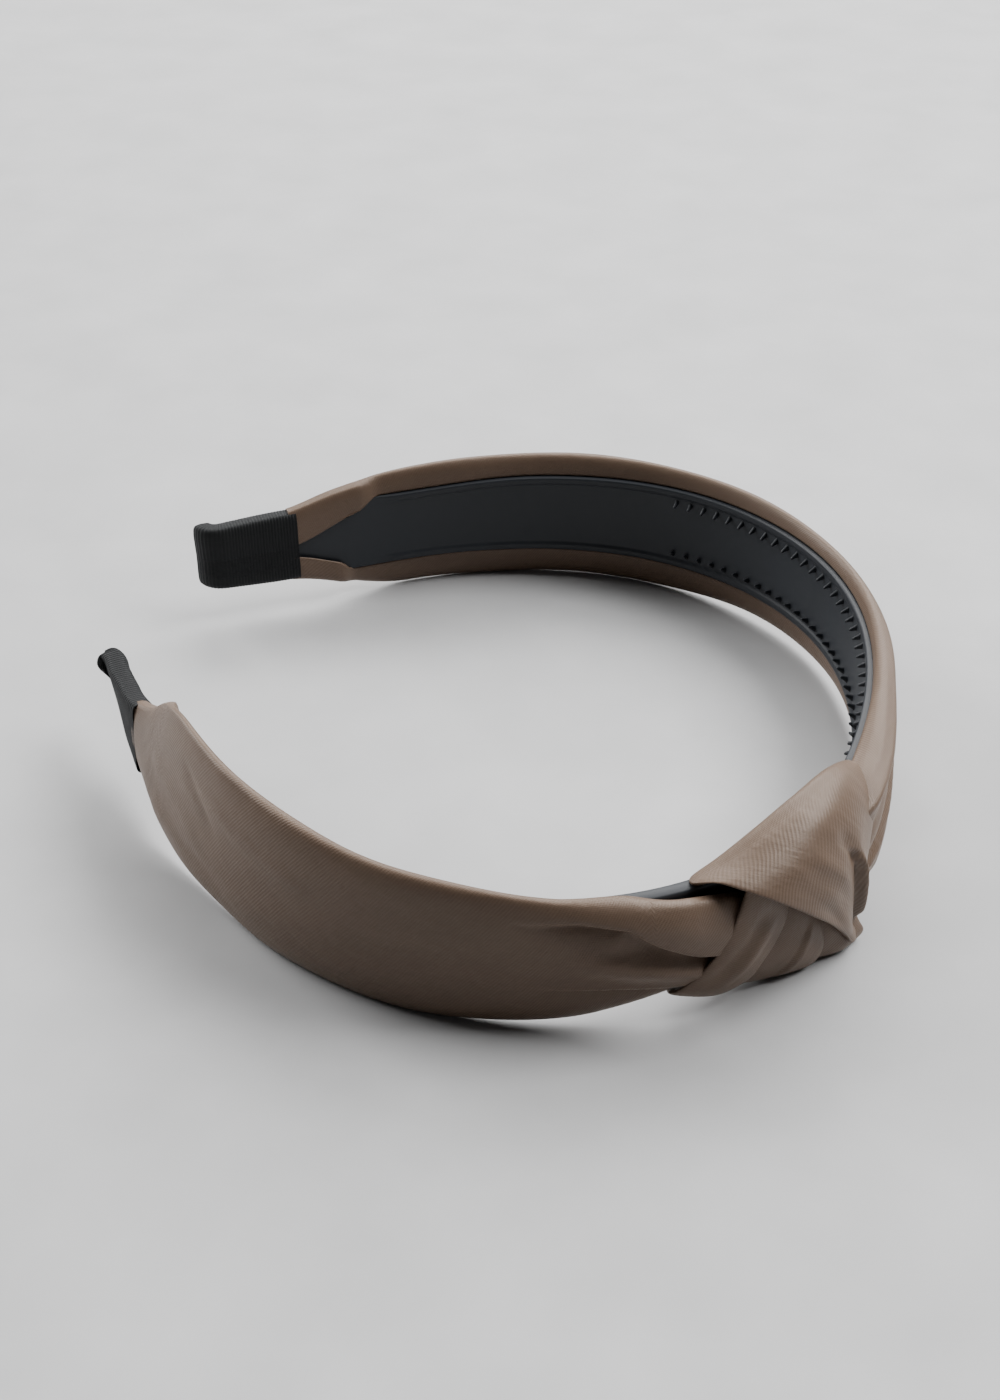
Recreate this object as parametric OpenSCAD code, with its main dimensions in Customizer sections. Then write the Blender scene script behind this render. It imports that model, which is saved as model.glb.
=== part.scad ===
// Knotted headband: a toothed plastic hoop in a padded satin cover with a knot beside the crown.
// It lies on its side: the hoop's outline is in the XY plane and its width stands along +Z.
// +X points to the crown, the left arm is on the -Y side and the right arm on the +Y side.
// A place on the band is given as [s, out, z]: s is the distance along the hoop from the crown
// point (negative on the left arm), out is measured outwards from the hoop's inner face.

/* [Hoop] */
// Distance along the left arm from the crown point to its tip
left_len = 209; // [203:1:210]
// Distance along the right arm from the crown point to its tip
right_len = 199; // [195:1:205]
// Wall thickness of the plastic hoop
hoop_t = 2; // [1.6:0.1:2.2]
// How far the rim along each edge stands in from the inner face
rim_h = 0.4; // [0.2:0.1:0.6]
// Width of that rim
rim_w = 1.2; // [0.8:0.1:2]

/* [Comb teeth] */
// Distance between two teeth along the band
tooth_pitch = 3.2; // [2.8:0.1:4]
// Length of a tooth along the band
tooth_w = 1.3; // [0.8:0.1:1.6]
// How far a tooth stands in from the inner face
tooth_h = 1.8; // [1:0.1:2.2]
// Distance from the hoop's edge to a tooth's foot
tooth_inset = 1.6; // [1.4:0.1:2.5]
// Half of the length of band that carries teeth
tooth_reach = 76; // [40:1:76]

/* [Cover] */
// Thickness of the satin with its backing
cover_t = 0.8; // [0.6:0.1:1]
// Distance that the ribbon reaches back from the left tip
left_ribbon = 26; // [22:1:28]
// Distance that the ribbon reaches back from the right tip
right_ribbon = 22; // [18:1:24]
// Thickness of the ribbon
ribbon_t = 0.5; // [0.4:0.1:0.6]

/* [Flexing] */
// Distance from the crown point to the left arm's flexing line
left_flex = 92; // [88:1:98]
// Distance from the crown point to the right arm's flexing line
right_flex = 80; // [70:1:88]

/* [Hidden] */

satin = [0.45, 0.36, 0.31];
satin_dark = [0.38, 0.30, 0.26];
wadding = [0.85, 0.84, 0.80];
plastic = [0.16, 0.17, 0.19];
ribbon_black = [0.09, 0.09, 0.10];

crown_x = 67.3;        // place of the crown point in the part's own frame
crown_y = -1.9;
gap = 0.15;           // space between two layers
flex_gap = 1.1;       // half of the slot in the soft layers at a flexing line
hoop_slot = 0.45;     // half of the slot in the hoop there
tooth_flank = 0.15;   // run of a tooth's sides along the band
knot_mid = -36;       // where the two covers meet, under the knot
step = 4;             // distance between two sections
tip_step = 1.3;       // distance between two sections near the tips
roundness = 2.6;      // exponent of the cover's rounded section
mid_z = 15;           // height of the line that the sections lean about
tip_left = -183;      // from here to the left tip the sections stand closer
tip_right = 177;      // from here to the right tip the sections stand closer

// Turn of the outline in degrees for each millimetre, from the crown point outwards.
// The last millimetres turn back: the tips curl away from the head.
left_turn = [
    [0, 0.43], [50, 1.11], [100, 0.95], [150, 0.48], [175, 0.25], [190, 0.8], [203, 0.8], [205, -13],
    [212, -13]
];
right_turn = [[0, 0.43], [50, 1.00], [100, 1.00], [150, 0.32], [192, 0], [195, -14], [205, -14]];

// Heights and depths along an arm: [distance from the crown point, value]
left_high = [[0, 18.2], [125, 18.2], [160, 16.5], [180, 14.6], [209, 6.2]];
right_high = [[0, 18.2], [125, 18.2], [160, 16.5], [180, 14.6], [200, 13.4]];
left_mid = [[0, 16.6], [120, 16.6], [178, 15], [184, 15], [209, 19]];
right_mid = [[0, 16.6], [120, 16.6], [178, 15]];
left_lean = [[0, 3], [80, 3], [140, -1.5], [176, -7], [190, 1.5], [200, 9], [209, 38]];
right_lean = [[0, 3], [80, 3], [140, -3], [176, 4], [200, 0]];
left_top = [[0, 26.8], [54, 26.8], [72, 28], [120, 30], [155, 31.8], [168, 30], [184, 23.4], [200, 22.8]];
right_top = [[0, 26.8], [16, 28], [60, 28], [120, 30], [150, 29.8], [176, 23.8], [195, 22.8]];
left_bottom = [[0, 4.6], [54, 4.6], [72, 2], [116, -1], [160, -1], [180, 6.3], [200, 7.2]];
right_bottom = [[0, 4.6], [16, 2], [60, 2], [116, -1], [152, -1], [176, 6.3], [195, 7.2]];
out_table = [[0, 4.7], [60, 4.5], [120, 5.8], [178, 3.4], [200, 2.8]];

// Value of a table at distance u, eased between its rows
function row_at(t, u, i = 0) = (i >= len(t) - 2 || u < t[i + 1][0]) ? i : row_at(t, u, i + 1);
function ease(t, u) =
    let (i = row_at(t, u), w = max(0, min(1, (u - t[i][0]) / (t[i + 1][0] - t[i][0]))))
    t[i][1] + (t[i + 1][1] - t[i][1]) * w * w * (3 - 2 * w);

// The outline, walked in steps of 1 mm from the crown point: [x, y, heading]
function walk(turn, n) = [
    for (i = 0, a = 90, x = 0, y = 0; i <= n;
         i = i + 1, x = x + cos(a), y = y + sin(a), a = a + lookup(i, turn)) [x, y, a]
];
left_walk = walk(left_turn, 212);
right_walk = walk(right_turn, 206);
function on_walk(w, u) = let (i = floor(u)) w[i] + (w[i + 1] - w[i]) * (u - i);

// Place and direction of the band at signed distance s: [x, y, angle of the outward normal]
function spot(s) =
    let (p = s < 0 ? on_walk(left_walk, -s) : on_walk(right_walk, s), side = s < 0 ? -1 : 1)
    [crown_x + p[0], crown_y + side * p[1], side * (p[2] - 90)];

// Point of the band at [s, out, z], leaned about the middle line; nothing goes below the floor,
// and an inner layer stays as far above it as its inset
function place(s, out, z, inset) =
    let (p = spot(s), b = ease(s < 0 ? left_lean : right_lean, abs(s)),
         o = out * cos(b) + (z - mid_z) * sin(b),
         h = mid_z + (z - mid_z) * cos(b) - out * sin(b), low = is_undef(inset) ? 0 : inset)
    [p[0] + o * cos(p[2]), p[1] + o * sin(p[2]), max(low, h)];

function high_at(s) = ease(s < 0 ? left_high : right_high, abs(s));
function mid_at(s) = ease(s < 0 ? left_mid : right_mid, abs(s));
function top_at(s) = ease(s < 0 ? left_top : right_top, abs(s));
function bottom_at(s) = ease(s < 0 ? left_bottom : right_bottom, abs(s));

// Closed solid through a list of rings that all have the same number of points
module skin(rings) {
    n = len(rings[0]);
    last = len(rings) - 1;
    walls = [
        for (i = [0:last - 1], j = [0:n - 1])
            let (a = i * n + j, b = i * n + (j + 1) % n, c = b + n, d = a + n)
            each [[a, b, c], [a, c, d]]
    ];
    foot = [for (j = [n - 1:-1:0]) j];
    head = [for (j = [0:n - 1]) last * n + j];
    polyhedron([for (r = rings) each r], concat(walls, [foot, head]));
}

// Stations between two signed distances: at about the standard step, closer towards the tips
function even(a, b, d) = let (n = max(1, round((b - a) / d))) [for (i = [0:n]) a + (b - a) * i / n];
function stations(a, b) =
    a < tip_left ? concat(even(a, tip_left, tip_step), [for (s = even(tip_left, b, step)) if (s > tip_left) s])
    : b > tip_right ? concat([for (s = even(a, tip_right, step)) if (s < tip_right) s],
                              even(tip_right, b, tip_step))
    : even(a, b, step);

// A section of [out, z, inset] points, given by a function of s, swept along the band
module sweep_band(a, b, section)
    skin([for (s = stations(a, b)) [for (q = section(s)) place(s, q[0], q[1], q[2])]]);

// Point of the rounded section at angle t: 0 inside, 90 top, 180 outside, 270 bottom
function power(v) = sign(v) * pow(abs(v), 2 / roundness);
function on_round(s, t, inset) =
    let (top = top_at(s), low = bottom_at(s), half = ease(out_table, abs(s)) / 2)
    [half - (half - inset) * power(cos(t)),
     (top + low) / 2 + ((top - low) / 2 - inset) * power(sin(t)), inset];
// Angle at which the rounded section, inset from its outside, is at height z
function angle_at(s, z, inset) =
    let (top = top_at(s), low = bottom_at(s))
    asin(min(0.999, pow(abs(z - (top + low) / 2) / ((top - low) / 2 - inset), roundness / 2)));

// The hoop's flat wall with a rim along each edge; teeth is 1 in a tooth and 0 between teeth
function hoop_section(s, teeth = 0) =
    let (h = high_at(s) / 2, m = mid_at(s), i = -rim_h,
         foot = h - tooth_inset, k = min(1, foot / 3.3), tip = -tooth_h * teeth)
    concat(
        [[i, m - h + 0.3], [i, m - h + rim_w], [0, m - h + rim_w + 0.3]],
        [[0, m - foot], [tip, m - foot + 2.2 * k], [tip, m - foot + 2.7 * k], [0, m - foot + 3 * k]],
        [[0, m + foot - 3 * k], [tip, m + foot - 2.7 * k], [tip, m + foot - 2.2 * k], [0, m + foot]],
        [[0, m + h - rim_w - 0.3], [i, m + h - rim_w], [i, m + h - 0.3], [i + 0.3, m + h]],
        [[hoop_t - 0.5, m + h], [hoop_t, m + h - 0.5], [hoop_t, m - h + 0.5],
         [hoop_t - 0.5, m - h], [i + 0.3, m - h]]);

// The cover: a skin around the hoop and padding, open along the hoop's inner face
cover_points = 18;
function cover_section(s) =
    let (h = high_at(s) / 2 + gap, m = mid_at(s),
         a0 = angle_at(s, m + h, 0), a1 = 360 - angle_at(s, m - h, 0),
         b0 = angle_at(s, m + h, cover_t), b1 = 360 - angle_at(s, m - h, cover_t))
    concat([for (k = [0:cover_points]) on_round(s, a0 + (a1 - a0) * k / cover_points, 0)],
           [for (k = [cover_points:-1:0]) on_round(s, b0 + (b1 - b0) * k / cover_points, cover_t)]);

// The padding: what the cover leaves outside the hoop
padding_points = 10;
function padding_section(s) =
    let (half = ease(out_table, abs(s)) / 2, inset = cover_t + gap,
         c = (half - hoop_t - gap) / (half - inset),
         t0 = acos(sign(c) * pow(min(1, abs(c)), roundness / 2)))
    [for (k = [0:padding_points]) on_round(s, t0 + (360 - 2 * t0) * k / padding_points, inset)];

// The ribbon's section: one turn around the hoop's end, inset from its outside
function ribbon_loop(s, inset) =
    let (h = high_at(s) / 2 + gap + ribbon_t - inset, m = mid_at(s),
         i = -rim_h - gap - ribbon_t + inset, o = hoop_t + gap + ribbon_t - inset, r = 0.6)
    [[i, m - h + r], [i, m], [i, m + h - r], [i + r, m + h], [o - r, m + h],
     [o, m + h - r], [o, m], [o, m - h + r], [o - r, m - h], [i + r, m - h]];

module hoop(a, b) {
    color(plastic) sweep_band(a, b, function (s) hoop_section(s));
}
module hoop_crown() {
    count = floor(tooth_reach / tooth_pitch);
    half = tooth_w / 2;
    edges = [[-half - tooth_flank, 0], [-half, 1], [half, 1], [half + tooth_flank, 0]];
    teeth = [for (k = [-count:count], e = edges) [k * tooth_pitch + e[0], e[1]]];
    left = [for (s = even(-left_flex + hoop_slot, -tooth_reach - 2, step)) [s, 0]];
    right = [for (s = even(tooth_reach + 2, right_flex - hoop_slot, step)) [s, 0]];
    color(plastic) skin([
        for (c = concat(left, teeth, right))
            [for (q = hoop_section(c[0], c[1])) place(c[0], q[0], q[1], 0)]
    ]);
}
module hoop_left_arm() { hoop(-left_len, -left_flex - hoop_slot); }
module hoop_right_arm() { hoop(right_flex + hoop_slot, right_len); }

module padding(a, b) {
    color(wadding) sweep_band(a, b, function (s) padding_section(s));
}
module padding_left_crown() { padding(-left_flex + flex_gap, knot_mid - gap); }
module padding_left_arm() { padding(-left_len + 42, -left_flex - flex_gap); }
module padding_right_crown() { padding(knot_mid + gap, right_flex - flex_gap); }
module padding_right_arm() { padding(right_flex + flex_gap, right_len - 38); }

module cover(a, b) {
    color(satin) sweep_band(a, b, function (s) cover_section(s));
}
module cover_left_crown() { cover(-left_flex + flex_gap, knot_mid - gap); }
module cover_left_arm() { cover(-left_len + left_ribbon + gap, -left_flex - flex_gap); }
module cover_right_crown() { cover(knot_mid + gap, right_flex - flex_gap); }
module cover_right_arm() { cover(right_flex + flex_gap, right_len - right_ribbon - gap); }

module ribbon(a, b) {
    ends = stations(a, b);
    n = len(ribbon_loop(a, 0));
    m = len(ends);
    points = [for (t = [0, ribbon_t], s = ends, q = ribbon_loop(s, t)) place(s, q[0], q[1])];
    walls = [for (i = [0:m - 2], j = [0:n - 1])
        let (k = (j + 1) % n, a = i * n + j, b = i * n + k, w = m * n)
        each [[a, b, b + n], [a, b + n, a + n], [w + a, w + b + n, w + b], [w + a, w + a + n, w + b + n]]];
    rims = [for (j = [0:n - 1])
        let (k = (j + 1) % n, w = m * n, e = (m - 1) * n)
        each [[j, w + j, w + k], [j, w + k, k], [e + j, w + e + k, w + e + j], [e + j, e + k, w + e + k]]];
    color(ribbon_black) polyhedron(points, concat(walls, rims));
}
module ribbon_left() { ribbon(-left_len, -left_len + left_ribbon); }
module ribbon_right() { ribbon(right_len - right_ribbon, right_len); }

// A strand of the knot: [s, out, z, tilt, width, thickness] at each point of its run.
// tilt turns its outer face: 0 faces outwards, 90 up, 180 to the head.
right_strand = [
    [8, 6.6, 14.5, 0, 21, 3.0], [-7, 7.6, 15, 0, 20, 4.2], [-19, 9.2, 16, 0, 17, 5.8],
    [-29, 10.4, 18, 18, 15, 6], [-37, 9.4, 23.5, 42, 17, 5.4], [-42, 5.6, 28.8, 66, 22, 4.6],
    [-44, 0.8, 30.6, 96, 24, 3.8], [-43, -2.6, 27.4, 150, 22, 2.8], [-42, -3.6, 21.5, 180, 18, 2]
];
left_strand = [
    [-72, 6.2, 15, 0, 20, 2.4], [-62, 7.0, 13.5, 0, 17, 3.4], [-53, 7.6, 10.5, -12, 14, 4],
    [-45, 8.2, 7.2, -30, 14, 4.4], [-39, 6.2, 3.4, -62, 17, 4.4], [-36, 2.2, 2.1, -90, 20, 3.2],
    [-35, -2.2, 4.4, -145, 18, 2.6], [-34, -3.4, 9.5, -178, 14, 2]
];
strand_points = 12;
function strand_ring(run, i) =
    let (p = run[i], back = run[max(0, i - 1)], on = run[min(len(run) - 1, i + 1)],
         along = [on[0] - back[0], on[1] - back[1], on[2] - back[2]],
         face = [0, cos(p[3]), sin(p[3])], across = cross(along, face), wide = across / norm(across))
    [for (k = [0:strand_points - 1])
        let (t = -360 * k / strand_points, q = [p[0], p[1], p[2]]
             + wide * p[4] / 2 * power(cos(t)) + face * p[5] / 2 * power(sin(t)))
        place(q[0], q[1], q[2])];
module strand(run) {
    skin([for (i = [0:len(run) - 1]) strand_ring(run, i)]);
}
module knot_right_strand() { color(satin) strand(right_strand); }
module knot_left_strand() { color(satin_dark) strand(left_strand); }

// Tacking stitches that hold the knot's two turns on the hoop's inner side
module knot_stitches() {
    color(satin_dark) for (s = [-42, -38, -34]) {
        p = spot(s);
        translate([p[0], p[1], 0]) rotate([0, 0, p[2]]) translate([-2.4, -1, 15.6]) cube([0.5, 2, 0.5]);
    }
}

hoop_crown();
hoop_left_arm();
hoop_right_arm();
padding_left_crown();
padding_left_arm();
padding_right_crown();
padding_right_arm();
cover_left_crown();
cover_left_arm();
cover_right_crown();
cover_right_arm();
knot_right_strand();
knot_left_strand();
knot_stitches();
ribbon_left();
ribbon_right();
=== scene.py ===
import bpy
import numpy as np
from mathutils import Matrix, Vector


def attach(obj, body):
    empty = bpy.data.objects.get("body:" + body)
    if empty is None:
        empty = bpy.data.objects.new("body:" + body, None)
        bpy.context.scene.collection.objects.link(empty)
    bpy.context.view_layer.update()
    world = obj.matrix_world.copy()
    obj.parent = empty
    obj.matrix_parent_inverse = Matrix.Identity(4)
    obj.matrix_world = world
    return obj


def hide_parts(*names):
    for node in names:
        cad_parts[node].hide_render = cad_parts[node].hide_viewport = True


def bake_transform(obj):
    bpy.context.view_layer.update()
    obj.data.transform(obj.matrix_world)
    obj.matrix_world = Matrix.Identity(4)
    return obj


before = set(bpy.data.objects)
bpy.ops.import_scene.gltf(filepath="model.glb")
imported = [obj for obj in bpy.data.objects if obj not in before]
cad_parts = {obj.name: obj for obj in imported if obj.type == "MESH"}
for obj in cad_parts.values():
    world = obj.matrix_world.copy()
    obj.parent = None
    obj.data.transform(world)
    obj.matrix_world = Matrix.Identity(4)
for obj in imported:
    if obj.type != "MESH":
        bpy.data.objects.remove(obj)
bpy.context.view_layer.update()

# Knotted headband. Places are written as in the part's source: s is the distance along the hoop
# from the crown point (negative on the left arm), out is measured outwards from the hoop's inner
# face and z is the height above the surface, all in millimetres.
MM = 0.001
LEFT_END, RIGHT_END = -209.0, 199.0     # the hoop's two tips
LEFT_RIBBON, RIGHT_RIBBON = 26.0, 22.0  # how far each ribbon reaches back from its tip
HOOP_T = 2.0                            # thickness of the plastic
CROWN = (67.3, -1.9)                    # x and y of the crown point
MID_Z = 15                              # height of the line that the sections lean about
LOWEST = .05                            # least height above the surface
TOOTH_PITCH = 3.2                       # distance between two teeth
TEETH = 29                              # places for teeth on each side of the crown point
TOOTH_SIDES = 10
RIB_PITCH = .66                         # distance between two ribs of the ribbon
JOIN = -41.0                            # where the two lengths of hoop meet, under the knot

# The outline's turn in degrees for each millimetre, by distance from the crown point. The last
# millimetres turn back: the tips curl away from the head.
LEFT_SPAN, RIGHT_SPAN = 214, 208
LEFT_TURN = [(0, .43), (50, 1.11), (100, .95), (150, .48), (175, .25), (190, .8), (203, .8),
             (205, -13), (212, -13)]
RIGHT_TURN = [(0, .43), (50, 1.00), (100, 1.00), (150, .32), (192, 0), (195, -14), (205, -14)]

# By the same distance: the hoop's height, the height of its middle and its lean in degrees
LEFT_HIGH = [(0, 18.2), (125, 18.2), (160, 16.5), (180, 14.6), (209, 6.2)]
RIGHT_HIGH = [(0, 18.2), (125, 18.2), (160, 16.5), (180, 14.6), (200, 13.4)]
LEFT_MID = [(0, 16.6), (120, 16.6), (178, 15), (184, 15), (209, 19)]
RIGHT_MID = [(0, 16.6), (120, 16.6), (178, 15)]
LEFT_LEAN = [(0, 3), (80, 3), (140, -1.5), (176, -7), (190, 1.5), (200, 9), (209, 38)]
RIGHT_LEAN = [(0, 3), (80, 3), (140, -3), (176, 4), (200, 0)]

# The cover's top edge, bottom edge and outer face, by signed s
COVER_TOP = [(-200, 22.4), (-186, 22.4), (-182.5, 23.2), (-178, 25.0), (-171, 30.2), (-165, 32.4),
             (-157, 33.1), (-148, 32.8), (-120, 30.8), (-100, 29.6), (-88, 28.6), (-78, 27.1),
             (-70, 26.1), (-62, 25.2), (-55, 23.4), (-48, 19.5), (-40, 18), (-31, 22), (-24, 26.4),
             (-14, 27.8), (0, 28.2), (60, 28.6), (120, 30), (138, 29.9), (150, 29.0), (160, 27.6),
             (168, 26.0), (177, 23.6), (195, 22.4)]
COVER_LOW = [(-200, 7.8), (-186, 7.8), (-180, 6.6), (-168, 2.4), (-157, .6), (-145, .3), (-116, .1),
             (-92, .6), (-80, 2.0), (-66, 5.2), (-52, 7), (-40, 8), (-30, 3.6), (-20, 3.0), (-8, 2.4),
             (16, 2.2), (60, 2), (116, .1), (152, .1), (178, 6.8), (195, 7.6)]
COVER_OUT = [(-200, 2.8), (-186, 2.8), (-178, 2.9), (-168, 3.6), (-157, 4.4), (-143, 5.2), (-120, 5.8),
             (-90, 5.0), (-76, 5.0), (-62, 6.2), (-50, 6.0), (-40, 5.5), (-31, 8.2), (-25, 9.4),
             (-15, 8.4), (-4, 6.6), (10, 5.1), (60, 4.4), (120, 5.8), (150, 5.0), (178, 3.3),
             (186, 2.8), (195, 2.8)]


def ease(rows, u):
    """Value of a table at u, eased between its rows."""
    x, y = np.array(rows, float).T
    u = np.asarray(u, float)
    i = np.clip(np.searchsorted(x, u, side="right") - 1, 0, len(x) - 2)
    w = np.clip((u - x[i]) / (x[i + 1] - x[i]), 0, 1)
    return y[i] + (y[i + 1] - y[i]) * w * w * (3 - 2 * w)


def bend(rows, u):
    """Smooth curve through the rows, without flat spots at them."""
    x, y = np.array(rows, float).T
    slope = np.gradient(y, x)
    rise = np.diff(y) / np.diff(x)
    for k in range(len(x)):
        near = rise[max(0, k - 1):k + 1]
        if len(near) == 2 and near[0] * near[1] <= 0:
            slope[k] = 0
        else:
            slope[k] = np.sign(near[0]) * min(abs(slope[k]), 3 * abs(near).min())
    u = np.clip(np.asarray(u, float), x[0], x[-1])
    i = np.clip(np.searchsorted(x, u, side="right") - 1, 0, len(x) - 2)
    h = x[i + 1] - x[i]
    t = (u - x[i]) / h
    return ((2 * t ** 3 - 3 * t ** 2 + 1) * y[i] + (t ** 3 - 2 * t ** 2 + t) * h * slope[i]
            + (3 * t ** 2 - 2 * t ** 3) * y[i + 1] + (t ** 3 - t ** 2) * h * slope[i + 1])


def step(a, b, u):
    """0 at a, 1 at b, eased between them."""
    w = np.clip((np.asarray(u, float) - a) / (b - a), 0, 1)
    return w * w * (3 - 2 * w)


def walk(turn, n):
    """The outline in steps of 1 mm from the crown point: x, y and heading in degrees."""
    rows, x, y, a = [], 0.0, 0.0, 90.0
    for i in range(n + 1):
        rows.append((x, y, a))
        x, y = x + np.cos(np.radians(a)), y + np.sin(np.radians(a))
        a += np.interp(i + 1, *zip(*turn))
    return np.array(rows)


LEFT_WALK, RIGHT_WALK = walk(LEFT_TURN, LEFT_SPAN), walk(RIGHT_TURN, RIGHT_SPAN)


def spot(s):
    """x, y and the outward direction in radians at signed distance s."""
    s = np.asarray(s, float)
    u = np.abs(s)
    left, right = np.arange(LEFT_SPAN + 1.0), np.arange(RIGHT_SPAN + 1.0)
    x, y, a = (np.where(s < 0, np.interp(u, left, LEFT_WALK[:, k]), np.interp(u, right, RIGHT_WALK[:, k]))
               for k in range(3))
    side = np.where(s < 0, -1.0, 1.0)
    return CROWN[0] + x, CROWN[1] + side * y, np.radians(side * (a - 90))


def place(s, out, z):
    """Points in metres for band coordinates; nothing goes below the floor."""
    s, out, z = np.broadcast_arrays(np.asarray(s, float), out, z)
    x, y, a = spot(s)
    b = np.radians(np.where(s < 0, ease(LEFT_LEAN, -s), ease(RIGHT_LEAN, s)))
    o = out * np.cos(b) + (z - MID_Z) * np.sin(b)
    h = MID_Z + (z - MID_Z) * np.cos(b) - out * np.sin(b)
    return np.stack([x + o * np.cos(a), y + o * np.sin(a), np.maximum(h, LOWEST)], -1) * MM


def hoop_mid(s):
    return np.where(np.asarray(s) < 0, ease(LEFT_MID, np.abs(s)), ease(RIGHT_MID, np.abs(s)))


def hoop_half(s):
    return np.where(np.asarray(s) < 0, ease(LEFT_HIGH, np.abs(s)), ease(RIGHT_HIGH, np.abs(s))) / 2


def ripple(a, b, seed, scale):
    """Soft random height, about -1 to 1, over two coordinates in millimetres."""
    rng = np.random.default_rng(seed)
    total = np.zeros(np.broadcast(a, b).shape)
    for k in range(7):
        turn, phase = rng.uniform(0, np.pi), rng.uniform(0, 2 * np.pi)
        f = 2 * np.pi / (scale * rng.uniform(.6, 1.7))
        total += np.sin(f * (a * np.cos(turn) + b * np.sin(turn)) + phase)
    return total / 3.5


def along(line, s, z):
    """Unsigned distance to a line of points, which side of it, and how far along it, 0 to 1."""
    line = np.array(line, float)
    best = np.full(np.shape(s), 1e9)
    side = np.ones(np.shape(s))
    far = np.zeros(np.shape(s))
    cuts = np.concatenate([[0], np.cumsum(np.linalg.norm(np.diff(line, axis=0), axis=1))])
    for k in range(len(line) - 1):
        p, d = line[k], line[k + 1] - line[k]
        t = np.clip(((s - p[0]) * d[0] + (z - p[1]) * d[1]) / (d @ d), 0, 1)
        ds, dz = s - p[0] - t * d[0], z - p[1] - t * d[1]
        dist = np.hypot(ds, dz)
        new = dist < best
        best = np.where(new, dist, best)
        side = np.where(new, np.where(d[0] * dz - d[1] * ds >= 0, 1.0, -1.0), side)
        far = np.where(new, (cuts[k] + t * (cuts[k + 1] - cuts[k])) / cuts[-1], far)
    return best, side, far


def lap(line, s, z, amp, high, low, ends=(.15, .15), soft=.16):
    """A fold's edge: the cloth stands up by amp[0] on the line's left side and drops by amp[1] on
    its right side, over the distances high and low; ends are the shares that fade in and out."""
    dist, side, far = along(line, s, z)
    fade = step(0, ends[0], far) if ends[0] else 1.0
    fade = fade * (1 - step(1 - ends[1], 1, far) if ends[1] else 1.0)
    edge = 1 / (1 + np.exp(-np.clip(side * dist / soft, -40, 40)))
    return fade * (edge * amp[0] * np.exp(-dist / high) - (1 - edge) * amp[1] * np.exp(-dist / low))


def ridge(line, s, z, amp, wide, ends=(.3, .3)):
    """A rounded ridge along a line, or a valley where amp is negative."""
    dist, _, far = along(line, s, z)
    fade = step(0, ends[0], far) if ends[0] else 1.0
    fade = fade * (1 - step(1 - ends[1], 1, far) if ends[1] else 1.0)
    return amp * fade * np.exp(-(dist / wide) ** 2)


def normals(p):
    a, b = np.gradient(p, axis=0), np.gradient(p, axis=1)
    n = np.cross(a, b)
    return n / np.maximum(np.linalg.norm(n, axis=-1, keepdims=True), 1e-12)


def lengths(p, axis):
    """Distance in millimetres from the grid's first row, along an axis."""
    d = np.linalg.norm(np.diff(p, axis=axis), axis=-1) / MM
    zero = np.zeros_like(np.take(d, [0], axis))
    return np.concatenate([zero, np.cumsum(d, axis=axis)], axis)


def make(name, verts, faces, uvs=None):
    mesh = bpy.data.meshes.new(name)
    mesh.from_pydata([tuple(v) for v in verts], [], [tuple(f) for f in faces])
    mesh.polygons.foreach_set("use_smooth", [True] * len(mesh.polygons))
    if uvs is not None:
        layer = mesh.uv_layers.new(name="UVMap")
        index = np.empty(len(mesh.loops), int)
        mesh.loops.foreach_get("vertex_index", index)
        layer.data.foreach_set("uv", np.asarray(uvs, float)[index].ravel())
    mesh.validate()
    obj = bpy.data.objects.new(name, mesh)
    bpy.context.scene.collection.objects.link(obj)
    return obj


def grid_faces(rows, cols, wrap=False, flip=False, first=0):
    i, j = np.meshgrid(np.arange(rows - 1), np.arange(cols if wrap else cols - 1), indexing="ij")
    k = (j + 1) % cols
    f = np.stack([i * cols + j, i * cols + k, (i + 1) * cols + k, (i + 1) * cols + j], -1).reshape(-1, 4)
    return (f[:, ::-1] if flip else f) + first


def sheet_mesh(name, p, flip=False):
    """A grid of points as one smooth sheet, with a UV map in centimetres of cloth."""
    uv = np.stack([lengths(p, 0), lengths(p, 1)], -1) / 10
    middle = uv[:, p.shape[1] // 2, 0]
    uv[..., 0] = middle[:, None]
    return make(name, p.reshape(-1, 3), grid_faces(*p.shape[:2], flip=flip), uv.reshape(-1, 2))


# ---------------------------------------------------------------- hoop
def hoop_section(s):
    """Rounded section of the plastic: a rim along each edge of the inner face."""
    m, h = hoop_mid(s), hoop_half(s)
    rim = 1 - step(154, 160, s) - step(-162, -168, s)
    up = [(-.12 * rim, h), (-.36 * rim, h - .14), (-.42 * rim, h - .45), (-.40 * rim, h - 1.15),
          (-.28 * rim, h - 1.5), (-.06 * rim, h - 1.75), (0, h - 2.1)]
    back = [(HOOP_T, h - .8), (HOOP_T - .06, h - .4), (HOOP_T - .22, h - .14), (HOOP_T - .55, h)]
    ring = [(o, -z) for o, z in up] + [(0, 0)] + [(o, z) for o, z in up[::-1]]
    ring += [(o, z) for o, z in back[::-1]] + [(HOOP_T, 0)] + [(o, -z) for o, z in back]
    return [(o, m + z) for o, z in ring]


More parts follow.
